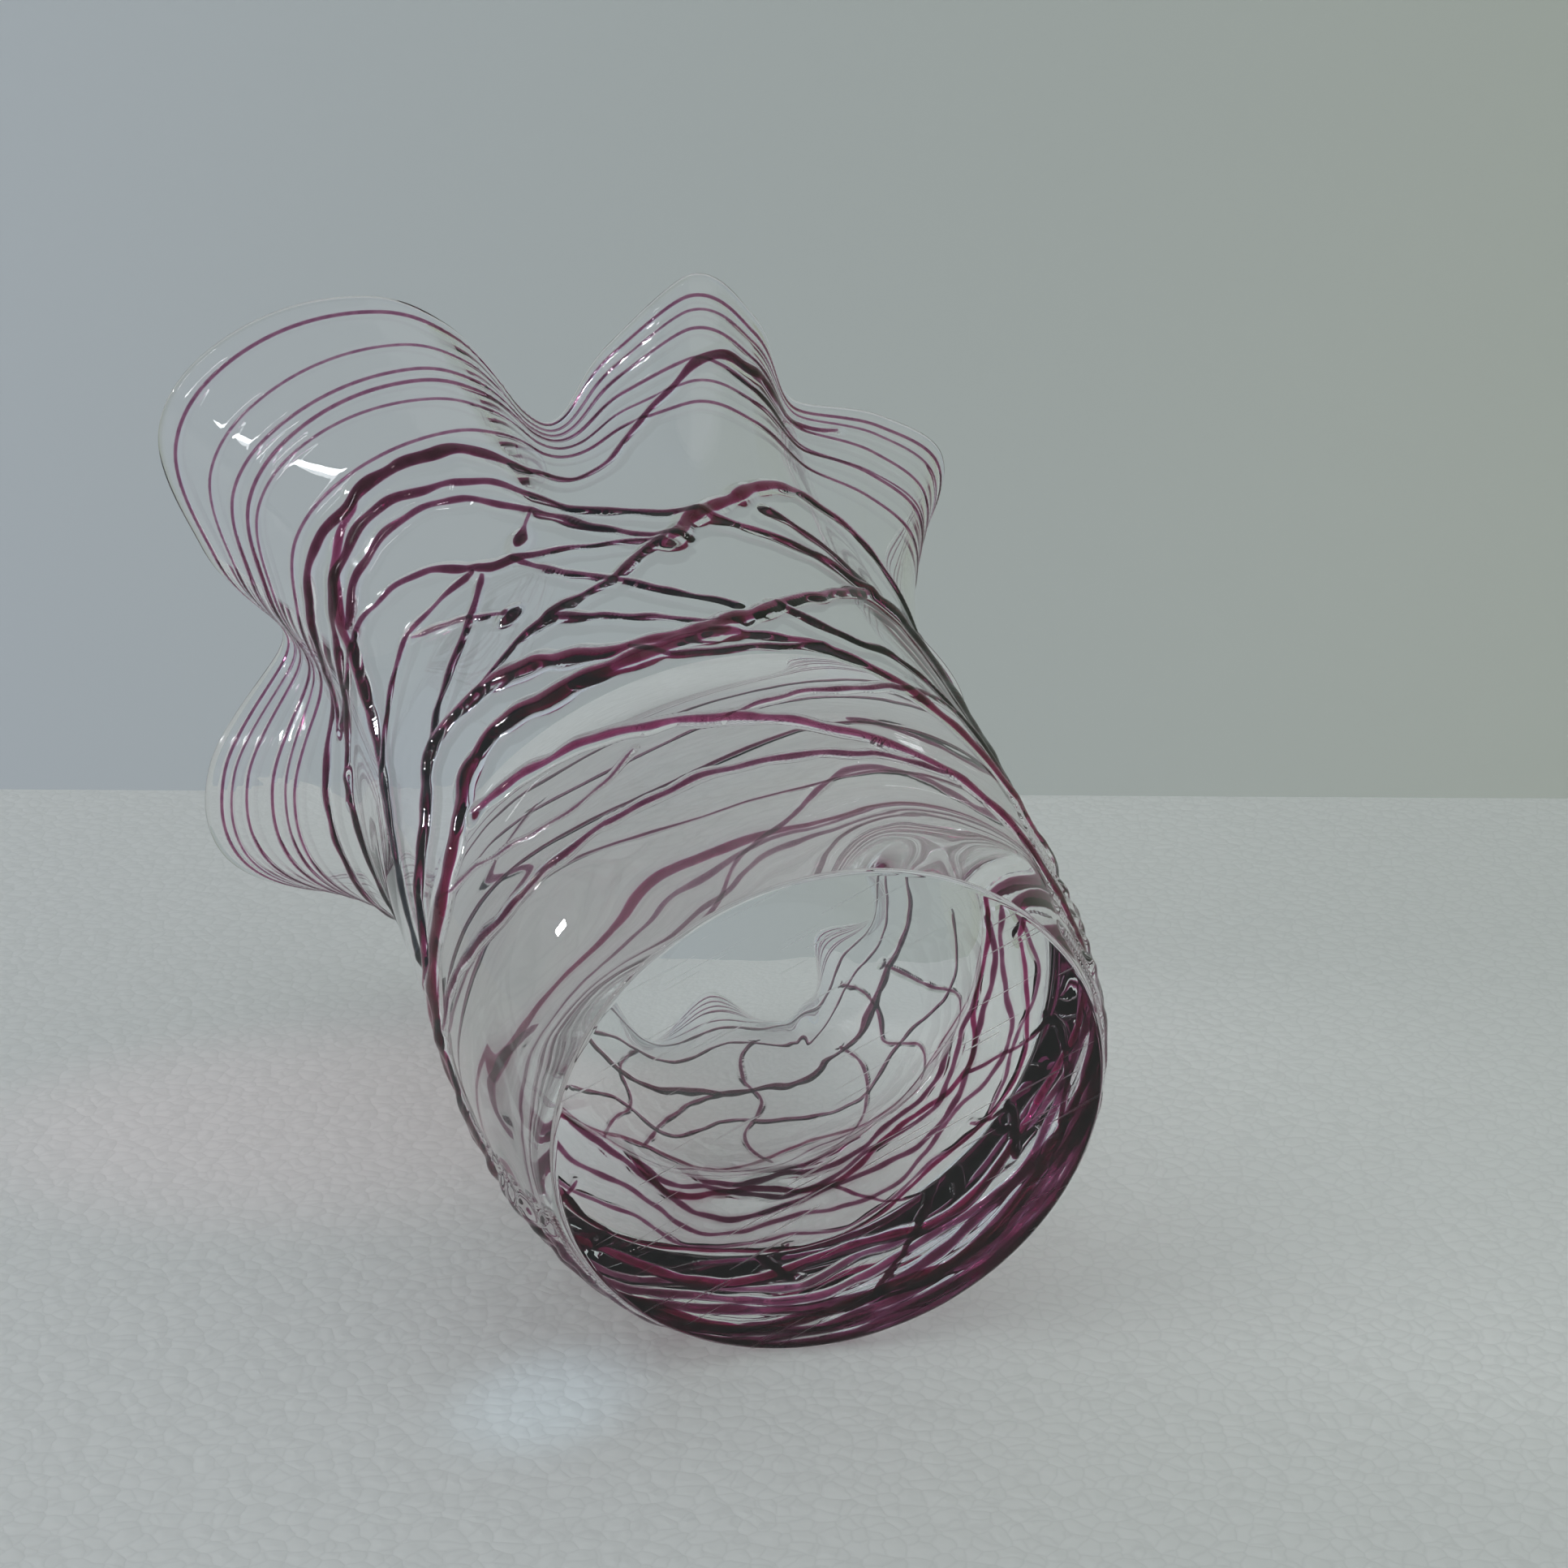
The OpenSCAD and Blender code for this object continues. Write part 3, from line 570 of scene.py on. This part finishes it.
def foot_wear(n, link):
    """How rough the glass is: scratched on the ground foot, fire-polished elsewhere."""
    coords = n.new("ShaderNodeTexCoord")
    one = scratches(n, link, 25, coords)
    other = scratches(n, link, -50, coords)
    both = combined(n, link, "MAXIMUM", one, other)
    axes = n.new("ShaderNodeSeparateXYZ")
    link.new(coords.outputs["Object"], axes.inputs["Vector"])
    low = mapped(n, link, axes.outputs["Z"], 0.0, WORN_HEIGHT, low=WORN_ROUGHNESS, high=0.0)
    return combined(n, link, "MULTIPLY", both, low)


def absorb(n, link, out, color, density):
    """Colours the glass by what each metre of it absorbs."""
    tint = n.new("ShaderNodeVolumeAbsorption")
    tint.inputs["Color"].default_value = color
    tint.inputs["Density"].default_value = density
    link.new(tint.outputs["Volume"], out.inputs["Volume"])


def clear_glass():
    m = bpy.data.materials.new("clear_glass")
    n, link, shader, out = nodes_of(m)
    shader.inputs["Base Color"].default_value = (1.0, 1.0, 1.0, 1)
    shader.inputs["IOR"].default_value = 1.5
    shader.inputs["Transmission Weight"].default_value = 1.0
    link.new(foot_wear(n, link), shader.inputs["Roughness"])
    coords = n.new("ShaderNodeTexCoord")
    swirl = n.new("ShaderNodeTexNoise")
    swirl.inputs["Scale"].default_value = 70.0
    link.new(coords.outputs["Object"], swirl.inputs["Vector"])
    bump = n.new("ShaderNodeBump")
    bump.inputs["Strength"].default_value = 0.25
    bump.inputs["Distance"].default_value = 0.00012
    link.new(swirl.outputs["Fac"], bump.inputs["Height"])
    link.new(bump.outputs["Normal"], shader.inputs["Normal"])
    absorb(n, link, out, (0.80, 0.93, 0.90, 1), density=1.2)
    return m


def amethyst_glass(name, color, density):
    """Coloured glass fused into the clear: it bends no light at the join, and only absorbs."""
    m = bpy.data.materials.new(name)
    n, link, shader, out = nodes_of(m)
    coords = n.new("ShaderNodeTexCoord")
    streaks = n.new("ShaderNodeTexNoise")
    streaks.inputs["Scale"].default_value = 420.0
    streaks.inputs["Detail"].default_value = 4.0
    link.new(coords.outputs["Object"], streaks.inputs["Vector"])
    shade = n.new("ShaderNodeValToRGB")
    shade.color_ramp.elements[0].position = 0.38
    shade.color_ramp.elements[0].color = (0.78, 0.66, 0.76, 1)
    shade.color_ramp.elements[1].position = 0.62
    shade.color_ramp.elements[1].color = (1.0, 1.0, 1.0, 1)
    link.new(streaks.outputs["Fac"], shade.inputs["Fac"])
    link.new(shade.outputs["Color"], shader.inputs["Base Color"])
    shader.inputs["Roughness"].default_value = 0.0
    shader.inputs["IOR"].default_value = 1.0
    shader.inputs["Transmission Weight"].default_value = 1.0
    absorb(n, link, out, color, density)
    return m


# ---------------------------------------------------------------- trails

def laid(route, step):
    """Points a step apart along a smooth curve through the route's chosen points."""
    p = np.array(route, float)
    p = np.vstack([2 * p[0] - p[1], p, 2 * p[-1] - p[-2]])
    found = []
    for i in range(1, len(p) - 2):
        a, b, c, d = p[i - 1:i + 3]
        length = np.linalg.norm(skin(b[0], b[1]) - skin(c[0], c[1]))
        t = np.arange(0, 1, step / max(length, step))[:, None]
        found.append(0.5 * (2 * b + (c - a) * t + (2 * a - 5 * b + 4 * c - d) * t * t
                            + (3 * b - a - 3 * c + d) * t ** 3))
    found.append(p[-2][None, :])
    return np.vstack(found)


def by_hand(path):
    """A trail with the swells and wander of glass laid on by hand, and a fillet at each end."""
    s = np.arange(len(path)) * STEP
    from_end = np.minimum(s, s[::-1])
    end_swell = END_SWELL * np.exp(-from_end / END_SWELL_LENGTH)
    width = path[:, 2] * (1 + SWELL * wander(s, SWELL_LENGTH) + end_swell)
    height = path[:, 1] + WANDER * wander(s, WANDER_LENGTH) * np.clip(from_end / STEADY_END, 0, 1)
    return np.column_stack([path[:, 0], height, width])


def rim_path(thread):
    height, waviness, waves, turn, width = thread
    a = np.arange(0, 360, RIM_STEP)
    h = np.minimum(VASE_H - UNDER_LIP, height + waviness * np.sin(np.radians(waves * a + turn)))
    return np.stack([a, h, np.full_like(a, width)], -1)


def heel_path(wrap):
    """A wrap's path round the back. Its waves are counted over half a turn."""
    height, waviness, waves, turn, width = wrap
    a = np.arange(WRAP_FROM, WRAP_TO - 1, -WRAP_STEP)
    h = height + waviness * np.sin(np.radians(waves * a * 2 + turn))
    return laid(np.stack([a, h, np.full(len(a), width)], -1), STEP)


LEAST_R = 40        # the skin is at least about this far from the axis, in millimetres
SPARE_ROWS = 1.4    # more rows are looked at than the reach needs, as heights are squeezed in the lobes


class Relief:
    """Bulge of the outer skin over the trails, kept as an angle-height map in millimetres."""

    def __init__(self, columns, rows):
        self.columns = columns
        self.rows = rows
        self.bulge = np.zeros((rows, columns), np.float32)
        a = np.arange(columns) * 360 / columns
        h = np.linspace(0, VASE_H, rows)
        self.point = skin(a[None, :], h[:, None]).astype(np.float32)

    def add(self, path):
        """Raises a rounded ridge along the path, as wide as the trail and its fillet."""
        ridge = np.zeros_like(self.bulge)
        points = skin(path[:, 0], path[:, 1])
        for (a, h, w), p in zip(path, points):
            reach = w * RELIEF_REACH
            ci = int(round(a / 360 * self.columns))
            ri = int(round(h / VASE_H * (self.rows - 1)))
            dc = int(reach / LEAST_R * self.columns / (2 * math.pi)) + 2
            dr = int(reach / VASE_H * self.rows * SPARE_ROWS) + 2
            rows = np.arange(max(0, ri - dr), min(self.rows, ri + dr + 1))
            cols = np.arange(ci - dc, ci + dc + 1) % self.columns
            block = np.ix_(rows, cols)
            d2 = ((self.point[block] - p.astype(np.float32)) ** 2).sum(-1)
            rise = RELIEF_SHARE * w * np.clip(1 - d2 / (reach * reach), 0, 1) ** 2
            ridge[block] = np.maximum(ridge[block], rise)
        self.bulge = np.cbrt(self.bulge ** 3 + ridge ** 3)

    def __call__(self, a, h):
        c = np.mod(np.asarray(a) / 360, 1) * self.columns
        r = np.clip(np.asarray(h) / VASE_H, 0, 1) * (self.rows - 1)
        c0, r0 = np.floor(c).astype(int), np.minimum(np.floor(r).astype(int), self.rows - 2)
        fc, fr = c - c0, r - r0
        c0 = c0 % self.columns
        c1 = (c0 + 1) % self.columns
        b = self.bulge
        return ((b[r0, c0] * (1 - fc) + b[r0, c1] * fc) * (1 - fr)
                + (b[r0 + 1, c0] * (1 - fc) + b[r0 + 1, c1] * fc) * fr)


def tube(name, path, closed, material, relief):
    """One trail: a closed oval tube fused just under the raised skin."""
    a, h, w = path.T
    centre = skin(a, h)
    out = skin_out(a, h)
    ahead = np.roll(centre, -1, 0) - np.roll(centre, 1, 0)
    if not closed:
        ahead[0] = centre[1] - centre[0]
        ahead[-1] = centre[-1] - centre[-2]
        from_end = np.minimum(np.arange(len(w)), np.arange(len(w))[::-1])
        w = w * np.clip(from_end / TIP_POINTS * (1 - TIP_SHARE) + TIP_SHARE, 0, 1)
    side = unit(np.cross(out, ahead))
    rise = relief(a, h)
    q = np.arange(TUBE_SIDES) * 2 * math.pi / TUBE_SIDES
    half_w = w[:, None, None] * BREADTH_SHARE
    half_t = w[:, None, None] * DEPTH_SHARE
    across = side[:, None, :] * np.cos(q)[None, :, None]
    through = out[:, None, :] * np.sin(q)[None, :, None]
    mid = centre[:, None, :] + out[:, None, :] * (rise[:, None, None] - half_t - COVER)
    rings = mid + across * half_w + through * half_t
    return mesh_object(name, rings.reshape(-1, 3) * MM, ring_faces(len(path), TUBE_SIDES, closed), material)


# ---------------------------------------------------------------- the body

def body_rings(columns, rows, relief):
    """Rings of points from the foot's edge up the outside, over the lip and down to the well's middle."""
    outer = chance_waves(WAVES, OUTER_MOST_ROUND)
    inner = chance_waves(WAVES, INNER_MOST_ROUND)
    a = np.arange(columns) * 360 / columns
    rings = [np.stack([r * np.cos(np.radians(a)), r * np.sin(np.radians(a)), np.zeros(columns)], -1)
             for r in np.linspace(BASE_R - EDGE_FROM, BASE_R - EDGE_TO, EDGE_RINGS)]
    for h in VASE_H * np.linspace(FIRST_RING, 1, rows):
        hh = np.full(columns, h)
        fade = min(1.0, h / RELIEF_FADE)
        lift = relief(a, hh) * fade + OUTER_UNEVEN * min(1.0, h / UNEVEN_FADE) * uneven(a, h, outer)
        rings.append(skin(a, hh) + skin_out(a, hh) * lift[:, None])
    lip = np.full(columns, VASE_H)
    out, up, edge = skin_out(a, lip), skin_up(a, lip), skin(a, lip)
    for q in np.radians(np.arange(LIP_STEP, 180, LIP_STEP)):
        rings.append(edge + RIM_WALL / 2 * ((math.cos(q) - 1) * out + math.sin(q) * up))
    top = BASE_T + WELL_RISE
    for h in np.linspace(VASE_H, top, rows * 3 // 4):
        hh = np.full(columns, h)
        wall = WALL + (RIM_WALL - WALL) * smooth((h - NECK_H) / (VASE_H - NECK_H))
        fade = min(1.0, (VASE_H - h) / UNEVEN_FADE)
        wall = wall + INNER_UNEVEN * fade * uneven(a, h, inner)
        rings.append(skin(a, hh) - wall[:, None] * skin_out(a, hh))
    edge = rings[-1]
    for u in np.radians(np.arange(90 - BOWL_STEP, 1, -BOWL_STEP)):
        z = BASE_T + WELL_RISE * (1 - math.cos(u)) + BOWL_UNEVEN * math.sin(2 * u) * uneven(a, top * u, inner)
        rings.append(np.column_stack([edge[:, 0] * math.sin(u), edge[:, 1] * math.sin(u), z]))
    return np.array(rings)


def vase_body(material, relief):
    columns, rows = BODY_GRID
    rings = body_rings(columns, rows, relief)
    faces = ring_faces(len(rings), columns, False)
    return mesh_object("body_glass", rings.reshape(-1, 3) * MM, faces, material)


HEAVY_WIDTH = 1.9     # a trail wider than this is drawn in the heavy amethyst, which absorbs less per metre


def ripple_paths():
    """The ripples' paths, a point to each degree. Their wander and swells are 40 and 25 degrees long."""
    for k in range(RIPPLES):
        a = np.arange(RIPPLE_FROM, RIPPLE_TO, -1.0)
        h = RIPPLE_FIRST + RIPPLE_PITCH * k + 0.9 * wander(a, 40)
        yield np.column_stack([a, np.maximum(h, RIPPLE_LOWEST), RIPPLE_W * (1 + 0.3 * wander(a, 25))])


def all_paths():
    """Every trail's path by its node name, and whether it closes on itself."""
    paths = {name: (by_hand(laid(route, STEP)), False) for name, route in TRAILS.items()}
    for k, wrap in enumerate(HEEL_WRAPS):
        paths[f"heel_wrap_{k + 1}"] = (by_hand(heel_path(wrap)), False)
    for k, thread in enumerate(RIM_THREADS):
        paths[f"rim_thread_{k + 1}"] = (rim_path(thread), True)
    return paths


def build_vase():
    clear = clear_glass()
    heavy = amethyst_glass("amethyst_glass", (0.74, 0.15, 0.50, 1), density=2800.0)
    fine = amethyst_glass("amethyst_glass_fine", (0.64, 0.18, 0.45, 1), density=4200.0)
    pale = amethyst_glass("amethyst_glass_pale", (0.64, 0.26, 0.48, 1), density=2400.0)
    paths = all_paths()
    relief = Relief(*RELIEF_GRID)
    for path, _ in paths.values():
        relief.add(path)
    for path in ripple_paths():
        relief.add(path)
    body = vase_body(clear, relief)
    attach(body, "root")
    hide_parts("vase_body")
    body.visible_shadow = False
    for name, (path, closed) in paths.items():
        if name.startswith("heel_wrap"):
            glass = pale
        else:
            glass = heavy if np.mean(path[:, 2]) > HEAVY_WIDTH else fine
        trail = tube(name + "_glass", path, closed, glass, relief)
        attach(trail, "root")
        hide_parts(name)
        trail.visible_shadow = False
        trail.visible_diffuse = False


def render_settings():
    scene = bpy.context.scene
    scene.cycles.max_bounces = 32
    scene.cycles.transmission_bounces = 32
    scene.cycles.glossy_bounces = 8
    scene.cycles.transparent_max_bounces = 16
    scene.cycles.caustics_reflective = False
    scene.cycles.caustics_refractive = True
    scene.view_settings.view_transform = "Standard"


add_camera()
add_room()
add_lights()
build_vase()
render_settings()
